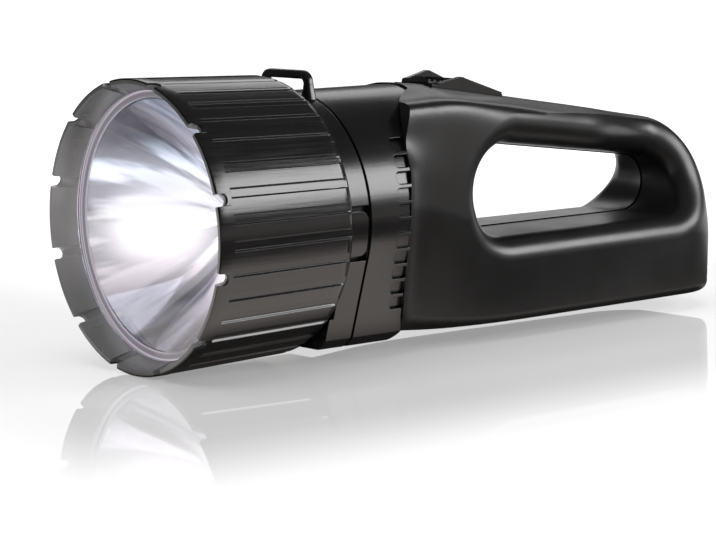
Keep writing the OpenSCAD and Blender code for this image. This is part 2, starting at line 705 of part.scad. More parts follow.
module switch_slider() {
  n0 = plate_n + 0.3;
  n1 = n0 + 0.9;
  n2 = n0 + 2.6;
  color("#242426") switch_frame() {
    block([-pad_half, pad_s, n0], [pad_half, pad_s + pad_len, n1]);
    block([-pad_half, step_s, n0], [pad_half, pad_s + pad_len, n2]);
    for (i = [0 : 3]) block([-pad_half, pad_s + i * (step_s - pad_s) / 4, n1 - e],
      [pad_half, pad_s + i * (step_s - pad_s) / 4 + 1.2, n1 + 0.7]);
    for (i = [0 : 3]) block([-pad_half, step_s + i * (pad_s + pad_len - step_s - 1.2) / 3, n2 - e],
      [pad_half, step_s + i * (pad_s + pad_len - step_s - 1.2) / 3 + 1.2, n2 + 0.7]);
    block([-3.6 + slide_clear, stem_s, -4.4], [3.6 - slide_clear, stem_s + stem_len, n0 + e]);
  }
}

module switch_wiper() {
  color("#c9a24a") switch_frame() block([-2.4, stem_s + 1, -5.6], [2.4, stem_s + stem_len - 1, -4.4]);
}

module switch_unit() {
  color("#4a4a4c") switch_frame() block([-6.5, unit_s, unit_n - unit_h], [6.5, unit_s + unit_len, unit_n]);
}

module battery_cells() {
  color("#6f7478") for (p = cell_spots) {
    front = p[0] * p[1] > 0 ? 1.5 : 0;
    rod(cell_d / 2, cell_y + front, cell_end - 1.5 + front, p[0], p[1]);
    rod(4.75, cell_y, cell_end, p[0], p[1]);
  }
}

module rear_contacts() {
  h = cell_pitch / 2;
  color("#c9a24a") {
    block([-h - 7, bay_end - 0.8, -h - 7], [-h + 7, bay_end, h + 7]);
    block([h - 7, bay_end - 0.8, h - 9], [h + 7, bay_end, h + 7]);
    block([h - 7, bay_end - 0.8, -h - 7], [h + 7, bay_end, -h + 9]);
  }
}

module contact_springs() {
  color("#c8ccd0") for (p = cell_spots) rod(5, cell_end + 0.1, bay_end - 0.8, p[0], p[1]);
}

module driver_board() {
  color("#2f6b3a") {
    block([-16, driver_y, board_z], [16, driver_y + driver_len, board_z + 1.6]);
    block([-6, driver_y + 16, board_z + 1.6 - e], [6, driver_y + 30, board_z + 5]);
  }
}

// Round wire through a list of points, each run along one axis
module wire(r, points) {
  for (i = [0 : len(points) - 2]) {
    d = points[i + 1] - points[i];
    translate(points[i]) rotate([0, acos(d[2] / norm(d)), atan2(d[1], d[0])]) cylinder(r = r, h = norm(d));
  }
  for (i = [1 : len(points) - 2]) translate(points[i]) sphere(r = r);
}

module switch_leads() {
  color("#a02020") for (s = [-1, 1])
    wire(0.8, [[s * lead_x, lead_end[0], lead_end[1]], [s * lead_x, bay_end - 4, lead_end[1]],
      [s * lead_x, bay_end - 4, lead_z], [s * lead_x, driver_y + 3, lead_z], [s * lead_x, driver_y + 3, board_z + 1.6]]);
}

module shell_screws() {
  color("#8e9194") for (p = spots) translate([0, p[0], p[1]]) rotate([0, 90, 0]) {
    translate([0, 0, -8.1]) cylinder(r = screw_r, h = 18);
    translate([0, 0, -10.2]) cylinder(r = screw_head_r, h = 2.2);
  }
}

module collar_screws() {
  color("#8e9194") for (s = [-1, 1]) {
    rod(screw_r, collar_y + 3, handle_y + 11, s * foot_screw[0], foot_screw[1]);
    rod(screw_head_r, collar_y + 1, collar_y + 3.5, s * foot_screw[0], foot_screw[1]);
  }
}

place() {
  head_barrel();
  front_lens();
  lens_seal();
  reflector();
  led_board();
  led_emitter();
  heat_sink();
  head_plate();
  head_gasket();
  head_contacts();
  head_screws();
  latch_tab_left();
  latch_tab_right();
  collar();
  strap_loop();
  front_housing();
  left_shell();
  right_shell();
  switch_guard();
  switch_slider();
  switch_wiper();
  switch_unit();
  battery_cells();
  rear_contacts();
  contact_springs();
  driver_board();
  switch_leads();
  shell_screws();
  collar_screws();
}
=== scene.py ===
"""Looks of the handheld searchlight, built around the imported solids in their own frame, in metres."""
import math

import bmesh
import bpy
from mathutils import Matrix, Vector


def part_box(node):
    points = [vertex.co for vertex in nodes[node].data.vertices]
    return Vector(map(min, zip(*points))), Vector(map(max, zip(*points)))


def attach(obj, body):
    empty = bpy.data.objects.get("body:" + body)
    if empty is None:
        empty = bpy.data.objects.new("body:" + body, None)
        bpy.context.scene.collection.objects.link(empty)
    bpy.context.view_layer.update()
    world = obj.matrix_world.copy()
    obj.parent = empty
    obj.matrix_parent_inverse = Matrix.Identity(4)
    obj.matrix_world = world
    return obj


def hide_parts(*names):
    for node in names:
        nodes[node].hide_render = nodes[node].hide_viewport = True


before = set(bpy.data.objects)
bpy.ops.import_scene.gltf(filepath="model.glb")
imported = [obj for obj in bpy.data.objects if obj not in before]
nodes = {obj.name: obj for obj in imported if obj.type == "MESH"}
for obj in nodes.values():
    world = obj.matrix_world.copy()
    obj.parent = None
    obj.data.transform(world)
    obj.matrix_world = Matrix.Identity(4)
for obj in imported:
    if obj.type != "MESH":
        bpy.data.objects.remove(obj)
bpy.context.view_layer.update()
scene = bpy.context.scene

# Lamp frame in millimetres: y back from the rim, z from the lamp axis
MM = 0.001
head_low, head_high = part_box("head_barrel")
FRONT_Y = head_low.y
AXIS_Z = (head_low.z + head_high.z) / 2


def at(x, y, z):
    return Vector((x * MM, FRONT_Y + y * MM, AXIS_Z + z * MM))


# Camera, fitted to the photograph's 716 x 540 frame
IMAGE_W = 716
FOCAL_PX = 2678.92
SENSOR_MM = 36.0
CAMERA_MM = (789.7, -546.8, 111.5)
LOOK = Vector((-0.7643, 0.6312, -0.1323)).normalized()
ROLL = math.radians(-0.82)


def make_camera():
    data = bpy.data.cameras.new("camera")
    data.sensor_width = SENSOR_MM
    data.lens = FOCAL_PX / IMAGE_W * SENSOR_MM
    data.clip_start = 0.01
    data.clip_end = 50.0
    cam = bpy.data.objects.new("camera", data)
    scene.collection.objects.link(cam)
    right = LOOK.cross(Vector((0, 0, 1))).normalized()
    up = right.cross(LOOK)
    turned_right = right * math.cos(ROLL) + up * math.sin(ROLL)
    turned_up = up * math.cos(ROLL) - right * math.sin(ROLL)
    basis = Matrix((turned_right, turned_up, -LOOK)).transposed()
    cam.matrix_world = Matrix.Translation(at(*CAMERA_MM)) @ basis.to_4x4()
    scene.camera = cam


# Materials: the painted bright spot in lamp-frame millimetres, other lengths in metres, noise scales per
# metre
PAINTED_HOT_SPOT = (-29.4, 34.3, -5.1)
ACROSS_VIEW = (0.631, 0.764, 0.0)
PLASTIC_IOR, LENS_IOR = 1.74, 1.45
CLOUD, GRAIN, GRAIN_BUMP, GRAIN_DEPTH = 38.0, 2600.0, 0.12, 0.00006
BRUSH, BRUSH_STRETCH = 1100.0, (1.0, 0.012, 1.0)
METAL_GRAIN, METAL_BUMP, METAL_DEPTH = 900.0, 0.08, 0.00004
DULL_GRAIN, DULL_BUMP, DULL_DEPTH = 1200.0, 0.1, 0.00005
CREASE_SHADE_RAYS = 8
GLOW_NEAR, GLOW_FAR = 0.006, 0.042
STREAKS, STREAK_DRIFT = 3.6, 9.0
SPOT_REACH, SPOT_SQUASH = 0.018, 0.6
SEAL_INNER, SEAL_OUTER = 0.0455, 0.05


class Shader:
    """One node material with short calls for the nodes used here."""

    def __init__(self, name):
        self.mat = bpy.data.materials.new(name)
        self.mat.use_nodes = True
        self.tree = self.mat.node_tree
        self.bsdf = self.tree.nodes["Principled BSDF"]
        self.out = self.tree.nodes["Material Output"]
        self.coord = self.tree.nodes.new("ShaderNodeTexCoord")

    def node(self, kind, **settings):
        made = self.tree.nodes.new(kind)
        for key, value in settings.items():
            setattr(made, key, value)
        return made

    def link(self, source, target):
        self.tree.links.new(source, target)

    def noise(self, scale, detail=4.0, rough=0.55, stretch=None):
        made = self.node("ShaderNodeTexNoise")
        made.inputs["Scale"].default_value = scale
        made.inputs["Detail"].default_value = detail
        made.inputs["Roughness"].default_value = rough
        place = self.coord.outputs["Object"]
        if stretch:
            mapping = self.node("ShaderNodeMapping")
            mapping.inputs["Scale"].default_value = stretch
            self.link(place, mapping.inputs["Vector"])
            place = mapping.outputs["Vector"]
        self.link(place, made.inputs["Vector"])
        return made.outputs["Fac"]

    def ramp(self, fac, stops):
        made = self.node("ShaderNodeValToRGB")
        first, last = made.color_ramp.elements
        first.position, first.color = stops[0][0], grey(stops[0][1])
        last.position, last.color = stops[-1][0], grey(stops[-1][1])
        for position, value in stops[1:-1]:
            made.color_ramp.elements.new(position).color = grey(value)
        self.link(fac, made.inputs["Fac"])
        return made.outputs["Color"]

    def math(self, kind, a, b=None):
        made = self.node("ShaderNodeMath", operation=kind)
        for slot, value in enumerate((a, b)):
            if isinstance(value, (int, float)):
                made.inputs[slot].default_value = value
            elif value is not None:
                self.link(value, made.inputs[slot])
        return made.outputs["Value"]

    def span(self, value, low, high, first, last):
        """Smooth change from first to last while the value goes from low to high."""
        made = self.node("ShaderNodeMapRange", interpolation_type="SMOOTHSTEP")
        for key, number in (("From Min", low), ("From Max", high), ("To Min", first), ("To Max", last)):
            made.inputs[key].default_value = number
        self.link(value, made.inputs["Value"])
        return made.outputs["Result"]

    def mixed(self, fac, first, second):
        made = self.node("ShaderNodeMixShader")
        self.link(fac, made.inputs["Fac"])
        self.link(first, made.inputs[1])
        self.link(second, made.inputs[2])
        return made.outputs["Shader"]

    def bump(self, height, strength, distance, edge=0.0):
        made = self.node("ShaderNodeBump")
        made.inputs["Strength"].default_value = strength
        made.inputs["Distance"].default_value = distance
        self.link(height, made.inputs["Height"])
        if edge:
            soft = self.node("ShaderNodeBevel", samples=4)
            soft.inputs["Radius"].default_value = edge
            self.link(soft.outputs["Normal"], made.inputs["Normal"])
        self.link(made.outputs["Normal"], self.bsdf.inputs["Normal"])

    def axes(self):
        """The three parts of the place on the object."""
        made = self.node("ShaderNodeSeparateXYZ")
        self.link(self.coord.outputs["Object"], made.inputs["Vector"])
        return made.outputs["X"], made.outputs["Y"], made.outputs["Z"]

    def hypot(self, a, b):
        squares = [self.math("MULTIPLY", value, value) for value in (a, b)]
        return self.math("SQRT", self.math("ADD", *squares))


def grey(value):
    if isinstance(value, (int, float)):
        return (value, value, value, 1.0)
    return (*value, 1.0)


def plastic(name, tone, rough, edge=0.0, brushed=0.0, lit=0.0, crease_shade_reach=0.0):
    """Moulded plastic with fine grain and cloudy gloss.

    Brushed plastic has fine lines along the lamp, lit plastic has a painted glow, and creased plastic has
    painted shade in its corners.
    """
    s = Shader(name)
    cloud = s.noise(CLOUD)
    fine = s.noise(GRAIN, 2.0)
    if brushed:
        lines = s.noise(BRUSH, 3.0, stretch=BRUSH_STRETCH)
        cloud = s.math("ADD", s.math("MULTIPLY", cloud, 1 - brushed), s.math("MULTIPLY", lines, brushed))
        fine = s.math("ADD", fine, s.math("MULTIPLY", lines, 2.0))
    s.link(s.ramp(cloud, [(0.3, tone[0]), (0.7, tone[1])]), s.bsdf.inputs["Base Color"])
    s.link(s.ramp(cloud, [(0.3, rough[0]), (0.75, rough[1])]), s.bsdf.inputs["Roughness"])
    s.bump(fine, GRAIN_BUMP, GRAIN_DEPTH, edge)
    s.bsdf.inputs["IOR"].default_value = PLASTIC_IOR
    # Painted shade: less shine where ambient occlusion finds close walls, darkening creases and recesses
    if crease_shade_reach:
        corner = s.node("ShaderNodeAmbientOcclusion", samples=CREASE_SHADE_RAYS)
        corner.inputs["Distance"].default_value = crease_shade_reach
        s.link(s.span(corner.outputs["AO"], 0.45, 0.85, 0.04, 0.5), s.bsdf.inputs["Specular IOR Level"])
    # Painted glow: emission strongest at the height of the lamp axis, fading up and down, standing in for
    # the lamp's light
    if lit:
        off = s.math("ABSOLUTE", s.math("SUBTRACT", s.axes()[2], AXIS_Z))
        s.bsdf.inputs["Emission Color"].default_value = (1.0, 0.93, 0.95, 1.0)
        s.link(s.span(off, GLOW_NEAR, GLOW_FAR, lit, 0.0), s.bsdf.inputs["Emission Strength"])
    return s.mat


def metal(name, colour, rough):
    s = Shader(name)
    fine = s.noise(METAL_GRAIN, 3.0)
    s.bsdf.inputs["Metallic"].default_value = 1.0
    s.link(s.ramp(fine, [(0.3, [c * 0.85 for c in colour]), (0.7, colour)]), s.bsdf.inputs["Base Color"])
    s.link(s.ramp(fine, [(0.3, rough * 0.8), (0.7, rough * 1.25)]), s.bsdf.inputs["Roughness"])
    s.bump(fine, METAL_BUMP, METAL_DEPTH)
    return s.mat


def dull(name, low, high, rough, shine=0.5):
    s = Shader(name)
    fine = s.noise(DULL_GRAIN, 3.0)
    s.link(s.ramp(fine, [(0.3, low), (0.7, high)]), s.bsdf.inputs["Base Color"])
    s.bsdf.inputs["Roughness"].default_value = rough
    s.bsdf.inputs["Specular IOR Level"].default_value = shine
    s.bump(fine, DULL_BUMP, DULL_DEPTH)
    return s.mat


def clear_plastic(name):
    s = Shader(name)
    s.bsdf.inputs["Base Color"].default_value = (0.97, 0.98, 1.0, 1.0)
    s.bsdf.inputs["Roughness"].default_value = 0.01
    s.bsdf.inputs["IOR"].default_value = LENS_IOR
    s.bsdf.inputs["Transmission Weight"].default_value = 1.0
    s.bump(s.noise(60.0, 2.0), 0.01, 0.0001)
    return s.mat


def mirror_with_painted_glow(name):
    """Plated bowl with a painted glow for the lit lamp: a painted bright spot on its right wall, painted
    streaks to its floor, dimmer up and down.
    """
    s = Shader(name)
    s.bsdf.inputs["Metallic"].default_value = 1.0
    s.bsdf.inputs["Base Color"].default_value = (0.22, 0.22, 0.25, 1.0)
    s.link(s.ramp(s.noise(30.0), [(0.3, 0.05), (0.7, 0.1)]), s.bsdf.inputs["Roughness"])
    # Painted glow, centred on the painted bright spot
    spot = at(*PAINTED_HOT_SPOT)
    from_spot = s.node("ShaderNodeVectorMath", operation="SUBTRACT")
    from_spot.inputs[1].default_value = spot
    s.link(s.coord.outputs["Object"], from_spot.inputs[0])
    across = s.node("ShaderNodeVectorMath", operation="DOT_PRODUCT")
    across.inputs[1].default_value = ACROSS_VIEW
    s.link(from_spot.outputs["Vector"], across.inputs[0])
    x, _, z = s.axes()
    up, side = s.math("SUBTRACT", z, spot.z), across.outputs["Value"]
    flat_z = s.math("SUBTRACT", z, AXIS_Z)
    radius = s.hypot(x, flat_z)
    heading = s.node("ShaderNodeCombineXYZ")
    s.link(s.math("DIVIDE", x, radius), heading.inputs["X"])
    s.link(s.math("DIVIDE", flat_z, radius), heading.inputs["Y"])
    s.link(s.math("MULTIPLY", radius, STREAK_DRIFT), heading.inputs["Z"])
    streak = s.node("ShaderNodeTexNoise")
    streak.inputs["Scale"].default_value = STREAKS
    streak.inputs["Detail"].default_value = 3.0
    s.link(heading.outputs["Vector"], streak.inputs["Vector"])
    rays = s.span(streak.outputs["Fac"], 0.42, 0.58, -0.65, 0.5)
    rays = s.math("MULTIPLY", rays, s.span(s.hypot(up, side), 0.006, 0.03, 0.0, 1.0))
    upper = s.span(up, 0.024, 0.037, 0.8, 0.1)
    lower = s.span(up, -0.032, -0.007, 0.02, 1.0)
    bands = s.math("MULTIPLY", upper, lower)
    core = s.span(s.hypot(up, s.math("MULTIPLY", side, SPOT_SQUASH)), 0.0, SPOT_REACH, 0.75, 0.0)
    level = s.math("ADD", s.math("MULTIPLY", bands, s.math("ADD", 1.0, rays)), core)
    tint = [(0.0, (1.0, 0.84, 0.89)), (0.5, (1.0, 0.95, 0.97)), (1.0, (0.72, 0.82, 1.0))]
    s.link(s.ramp(s.span(up, -0.04, 0.045, 0.0, 1.0), tint), s.bsdf.inputs["Emission Color"])
    s.link(level, s.bsdf.inputs["Emission Strength"])
    return s.mat


def glow(name, strength):
    s = Shader(name)
    s.bsdf.inputs["Base Color"].default_value = (1.0, 0.97, 0.94, 1.0)
    s.bsdf.inputs["Emission Color"].default_value = (1.0, 0.95, 1.0, 1.0)
    levels = [(0.3, strength * 0.9), (0.7, strength)]
    s.link(s.ramp(s.noise(900.0), levels), s.bsdf.inputs["Emission Strength"])
    return s.mat


def seal_with_painted_glow(name):
    """Clear seal round the lit bowl, with a painted glow all over and thin painted bright rings where its
    lips bend the light.
    """
    s = Shader(name)
    s.bsdf.inputs["Base Color"].default_value = (0.3, 0.28, 0.32, 1.0)
    s.link(s.ramp(s.noise(400.0), [(0.3, 0.15), (0.7, 0.25)]), s.bsdf.inputs["Roughness"])
    x, _, z = s.axes()
    radius = s.hypot(s.math("SUBTRACT", z, AXIS_Z), x)
    rings = [(0.0, 0.8), (0.1, 0.7), (0.17, 0.2), (0.5, 0.14)]
    rings += [(0.8, 0.2), (0.86, 0.55), (0.92, 0.25), (1.0, 0.2)]
    # Painted glow: emission across the seal, brightest in rings near its inner and outer edges
    s.bsdf.inputs["Emission Color"].default_value = (1.0, 0.92, 1.0, 1.0)
    across = s.span(radius, SEAL_INNER, SEAL_OUTER, 0.0, 1.0)
    s.link(s.ramp(across, rings), s.bsdf.inputs["Emission Strength"])
    return s.mat


BODY = plastic("body_black", (0.007, 0.01), (0.3, 0.4))
# Trim has painted shade in its creases and pockets
TRIM = plastic("trim_black", (0.006, 0.009), (0.18, 0.26), edge=0.0004, brushed=0.35, crease_shade_reach=0.0014)
HEAD = plastic("head_black", (0.005, 0.014), (0.14, 0.28), edge=0.00025, brushed=0.7)
SLIDER = plastic("slider_black", (0.014, 0.02), (0.35, 0.48), edge=0.0003)
# Rim inner wall: grey plastic with a painted glow
RIM_INNER_PAINTED_GLOW = plastic("rim_inner_grey_painted_glow", (0.2, 0.26), (0.22, 0.3), lit=0.12)
# Bright metal ring at the lens edge: a painted highlight standing in for the glint on the lens's bevelled
# edge
LENS_EDGE_HIGHLIGHT = metal("lens_edge_painted_highlight", (0.8, 0.78, 0.84), 0.12)
RUBBER = dull("seal_black", 0.012, 0.02, 0.7)
# Painted shade for the seam between the shells
SEAM_PAINTED_SHADE = dull("seam_shadow", 0.002, 0.004, 0.9, shine=0.02)
# Seal with a painted glow
SILICONE_PAINTED_GLOW = seal_with_painted_glow("seal_silicone_painted_glow")
CLEAR = clear_plastic("lens_clear")
# Bowl: plated mirror with a painted glow
MIRROR_PAINTED_GLOW = mirror_with_painted_glow("reflector_plated_painted_glow")
LIGHT = glow("emitter_lit", 1.0)
ALUMINIUM = metal("sink_aluminium", (0.75, 0.76, 0.78), 0.3)
BRASS = metal("contact_brass", (0.8, 0.6, 0.28), 0.25)
STEEL = metal("screw_steel", (0.6, 0.61, 0.63), 0.28)
CELL = metal("cell_case", (0.45, 0.46, 0.48), 0.32)
BOARD = dull("board_white", 0.7, 0.78, 0.5)
DRIVER = dull("driver_green", (0.03, 0.13, 0.05), (0.04, 0.17, 0.07), 0.4)
INNER = dull("inner_grey", 0.05, 0.07, 0.5)
LEAD = dull("lead_red", (0.4, 0.03, 0.03), (0.48, 0.04, 0.04), 0.4)

# Nodes that show as they are; the finer skins below stand for the others
NODE_MATERIALS = {
    "latch_tab_left": HEAD, "latch_tab_right": HEAD, "head_plate": TRIM, "collar": TRIM,
    "front_housing": TRIM, "switch_guard": TRIM, "switch_slider": SLIDER, "front_lens": CLEAR,
    "lens_seal": SILICONE_PAINTED_GLOW, "head_gasket": RUBBER, "led_board": BOARD, "led_emitter": LIGHT,
    "heat_sink": ALUMINIUM, "head_contacts": BRASS, "rear_contacts": BRASS, "switch_wiper": BRASS,
    "head_screws": STEEL, "shell_screws": STEEL, "collar_screws": STEEL, "contact_springs": STEEL,
    "battery_cells": CELL, "driver_board": DRIVER, "switch_unit": INNER, "switch_leads": LEAD,
}


def dress_nodes():
    for name, mat in NODE_MATERIALS.items():
        mesh = nodes[name].data
        mesh.materials.clear()
        mesh.materials.append(mat)


# Mesh helpers, all in lamp-frame millimetres
SHARP_DEG = 32


def mix(a, b, t):
    return a + (b - a) * t


def clamp01(t):
    return max(0.0, min(1.0, t))


def ease(a, b, y):
    t = clamp01((y - a) / (b - a))
    return t * t * (3 - 2 * t)


def grid_mesh(name, columns):
    """Closed mesh from rings of equal length; both directions wrap round."""
    mesh = bpy.data.meshes.new(name)
    made = bmesh.new()
    rings = [[made.verts.new(at(*p)) for p in column] for column in columns]
    for here, there in zip(rings, rings[1:] + rings[:1]):
        for i in range(len(here)):
            k = (i + 1) % len(here)
            made.faces.new((here[i], there[i], there[k], here[k]))
    bmesh.ops.recalc_face_normals(made, faces=made.faces)
    made.to_mesh(mesh)
    made.free()
    return mesh


def add_piece(name, mesh, mat, body, node):
    mesh.polygons.foreach_set("use_smooth", [True] * len(mesh.polygons))
    mesh.set_sharp_from_angle(angle=math.radians(SHARP_DEG))
    mesh.materials.clear()
    mesh.materials.append(mat)
    piece = bpy.data.objects.new(name, mesh)
    scene.collection.objects.link(piece)
    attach(piece, body)
    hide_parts(node)


def add_prism(made, outline, low, high, frame_map):
    """Prism of a flat outline between two heights; frame_map turns (a, b, h) into a point."""
    bottom = [made.verts.new(frame_map(a, b, low)) for a, b in outline]
    top = [made.verts.new(frame_map(a, b, high)) for a, b in outline]
    made.faces.new(bottom)
    made.faces.new(top[::-1])
    for i in range(len(outline)):
        k = (i + 1) % len(outline)
        made.faces.new((bottom[k], bottom[i], top[i], top[k]))


def circle(r, count, a, b):
    turns = [2 * math.pi * i / count for i in range(count)]
    return [(a + r * math.cos(t), b + r * math.sin(t)) for t in turns]


def along_x(a, b, h):
    return at(h, a, b)


def along_y(a, b, h):
    return at(a, h, b)


def along_z(a, b, h):
    return at(a, b, h)


def bowed(p, q, h, count):
    """Points after p on the arc from p to q that rises by h over its chord."""
    run, rise = q[0] - p[0], q[1] - p[1]
    chord = math.hypot(run, rise)
    r = chord * chord / (8 * h) + h / 2
    mx = (p[0] + q[0]) / 2 + (r - h) * rise / chord
    my = (p[1] + q[1]) / 2 - (r - h) * run / chord
    start = math.atan2(p[1] - my, p[0] - mx)
    sweep = 2 * math.asin(chord / (2 * r))
    turns = [start - sweep * i / count for i in range(1, count + 1)]
    return [(mx + r * math.cos(t), my + r * math.sin(t)) for t in turns]


def carve(mesh, cutters):
    """The mesh with a list of prisms taken out of it, one after the other."""
    held = bpy.data.objects.new("held", mesh)
    scene.collection.objects.link(held)
    tools = []
    for outline, low, high, frame_map in cutters:
        made = bmesh.new()
        add_prism(made, outline, low, high, frame_map)
        bmesh.ops.recalc_face_normals(made, faces=made.faces)
        tool_mesh = bpy.data.meshes.new("tool")
        made.to_mesh(tool_mesh)
        made.free()
        tool = bpy.data.objects.new("tool", tool_mesh)
        scene.collection.objects.link(tool)
        tools.append(tool)
        cut = held.modifiers.new("cut", "BOOLEAN")
        cut.operation = "DIFFERENCE"
        cut.solver = "EXACT"
        cut.object = tool
    bpy.context.view_layer.update()
    ready = held.evaluated_get(bpy.context.evaluated_depsgraph_get())
    result = bpy.data.meshes.new_from_object(ready)
    for spare in tools + [held]:
        bpy.data.objects.remove(spare)
    return result


# Handle shells: the same curves as the solids, in fine steps
HANDLE_Y, HANDLE_END = 97.0, 286.0
BASE_DROP, HANDLE_TOP = 47.2, 46.2
FALL_START, FALL_DEG = 128.0, 9.0
HANDLE_HALF, FLARE, TAPER = 37.5, 5.0, 0.034
TAIL_START, TAIL_Z = 258.0, -25.0
TAIL_TOP_POWER, TAIL_SIDE_POWER, TAIL_CUT = 2.5, 2.0, 0.99
TIP_Y = TAIL_START + (HANDLE_END - TAIL_START) / TAIL_CUT
HEEL_R = 8.0
LIP_DROP, LIP_RUN, TOE_RISE, TOE_RUN, FLARE_RUN, FALL_EASE = 0.5, 24, 2.2, 33, 7, 9.0
GRIP_FRONT_Y, GRIP_FRONT_R = 155.5, 17.8
GRIP_REAR_Y, GRIP_REAR_R = 249.0, 11.9
GRIP_FLOOR, GRIP_EDGE_R, GRIP_DRAFT = -13.7, 8.5, 2.5
HOOD_END, HOOD_HALF, HOOD_TIP = 122.5, 36.0, 13.0
BOW, BOW_Z, BOW_R, BOW_LOW_R = 3.0, -6.0, 140.0, 200.0
BAY_END = 133.5
PARTING_GAP = 0.15
SWITCH_Y = 138

# Cross-section: what changes from front to rear, and the stretch of y over which it does
WIDE_FRONT, WIDE_REAR, WIDE_END = 0.52, 0.355, 175
BULGE_FRONT, BULGE_GRIP, BULGE_TAIL = 16, 6.1, 1.9
BULGE_SPAN, TAIL_SPAN = (122, 208), (205, 252)
CROWN_FRONT, CROWN_GRIP, CROWN_RUN = 4.6, 3.4, 45
CROWN_IN, CROWN_OUT = 0.13, 0.72
LEAN_FRONT, LEAN_REAR, LEAN_END = 0.128, 0.03, 170
LOW_R_FRONT, LOW_R_REAR, LOW_R_END, LOW_R_SHARE = 8, 4, 150, 0.4
FLARE_LOW, FLARE_HIGH = 14, 30
HALVINGS = 22

# Seam between the shells, and the steps of their meshes
SEAM_STEP, SEAM_SHADE_HALF, SEAM_GAP = 0.4, 0.25, 0.01
SEAM_LIP, SEAM_DEPTH, SEAM_EDGE, SEAM_EDGE_DEPTH = 0.3, 0.9, 0.35, 0.6
FRONT_STEPS, REAR_STEPS, RUN_STEPS, EDGE_STEPS = 84, 64, 30, 60
ROLL_STEPS, TRACE_STEPS, SIDE_STEPS = 14, 140, 84
MISS_RUN = 9


def ramp(y):
    """Distance along the falling stretch of the top, with a rounded start."""
    d = FALL_EASE
    u = y - FALL_START + d
    if u <= 0:
        return 0.0
    return u * u / (4 * d) if u < 2 * d else u - d


def tail(y, k):
    if y <= TAIL_START:
        return 1.0
    return (1 - ((y - TAIL_START) / (TIP_Y - TAIL_START)) ** k) ** (1 / k)


def top_line(y):
    drop = LIP_DROP * (1 - ease(HANDLE_Y, HANDLE_Y + LIP_RUN, y))
    return HANDLE_TOP - math.tan(math.radians(FALL_DEG)) * ramp(y) - drop


def top_z(y):
    return TAIL_Z + (top_line(y) - TAIL_Z) * tail(y, TAIL_TOP_POWER)


def heel(y):
    u = min(HEEL_R, y - HANDLE_END + HEEL_R)
    return 0.0 if u <= 0 else HEEL_R - math.sqrt(HEEL_R * HEEL_R - u * u)


def bot_z(y):
    return -BASE_DROP + TOE_RISE * (1 - clamp01((y - HANDLE_Y) / TOE_RUN)) ** 2 + heel(y)


def half_w(y, f=1.0):
    flare = f * FLARE * math.exp((HANDLE_Y - y) / FLARE_RUN)
    return (HANDLE_HALF + flare - TAPER * (y - HANDLE_Y)) * tail(y, TAIL_SIDE_POWER)


def wide_z(y):
    return mix(bot_z(y), top_z(y), mix(WIDE_FRONT, WIDE_REAR, ease(HANDLE_Y, WIDE_END, y)))


def bulge(y):
    grip = mix(1 / BULGE_FRONT, 1 / BULGE_GRIP, ease(*BULGE_SPAN, y))
    return 1 / mix(grip, 1 / BULGE_TAIL, ease(*TAIL_SPAN, y))


def crown(y):
    height = mix(CROWN_FRONT, CROWN_GRIP, ease(FALL_START, FALL_START + CROWN_RUN, y))
    return height * (1 - ease(*TAIL_SPAN, y))


def over(y):
    """Height of the handle's upper side as a function of the fraction of its half width."""
    n, c, zw = bulge(y), crown(y), wide_z(y)
    h = top_z(y) - c - zw
    return lambda u: zw + h * (1 - u ** n) ** (1 / n) + c * (1 - ease(CROWN_IN, CROWN_OUT, u))


def low_half(y):
    lean = mix(LEAN_FRONT, LEAN_REAR, ease(HANDLE_Y, LEAN_END, y))
    return half_w(y) - lean * (wide_z(y) - bot_z(y))


def low_r(y):
    return min(mix(LOW_R_FRONT, LOW_R_REAR, ease(HANDLE_Y, LOW_R_END, y)), LOW_R_SHARE * low_half(y))


def side_x(y, z):
    """Half width of the handle at a point of the side view, with its lower edge rounded."""
    w, zw, zb = half_w(y), wide_z(y), bot_z(y)
    if z >= zw:
        w = half_w(y, 1 - ease(FLARE_LOW, FLARE_HIGH, z))
        n = bulge(y)
        up = min(1.0, (z - zw) / (top_z(y) - crown(y) - zw))
        u = (1 - up ** n) ** (1 / n)
        if u >= CROWN_OUT:
            return w * u
        height = over(y)
        low, high = 0.0, CROWN_OUT
        for _ in range(HALVINGS):
            middle = (low + high) / 2
            if height(middle) > z:
                low = middle
            else:
                high = middle
        return w * low
    wb, r = low_half(y), low_r(y)
    if z >= zb + r:
        return mix(wb, w, (z - zb - r) / (zw - zb - r))
    drop = min(1.0, (zb + r - z) / r)
    return wb - r + r * math.sqrt(1 - drop * drop)


def front_y(z):
    """Parting line between the front housing and the shells, seen from the side."""
    r = BOW_R if z > BOW_Z else BOW_LOW_R
    return HANDLE_Y - BOW + r - math.sqrt(r * r - (z - BOW_Z) ** 2)


def inside(y, z):
    return front_y(z) + PARTING_GAP <= y <= HANDLE_END and bot_z(y) <= z <= top_z(y)


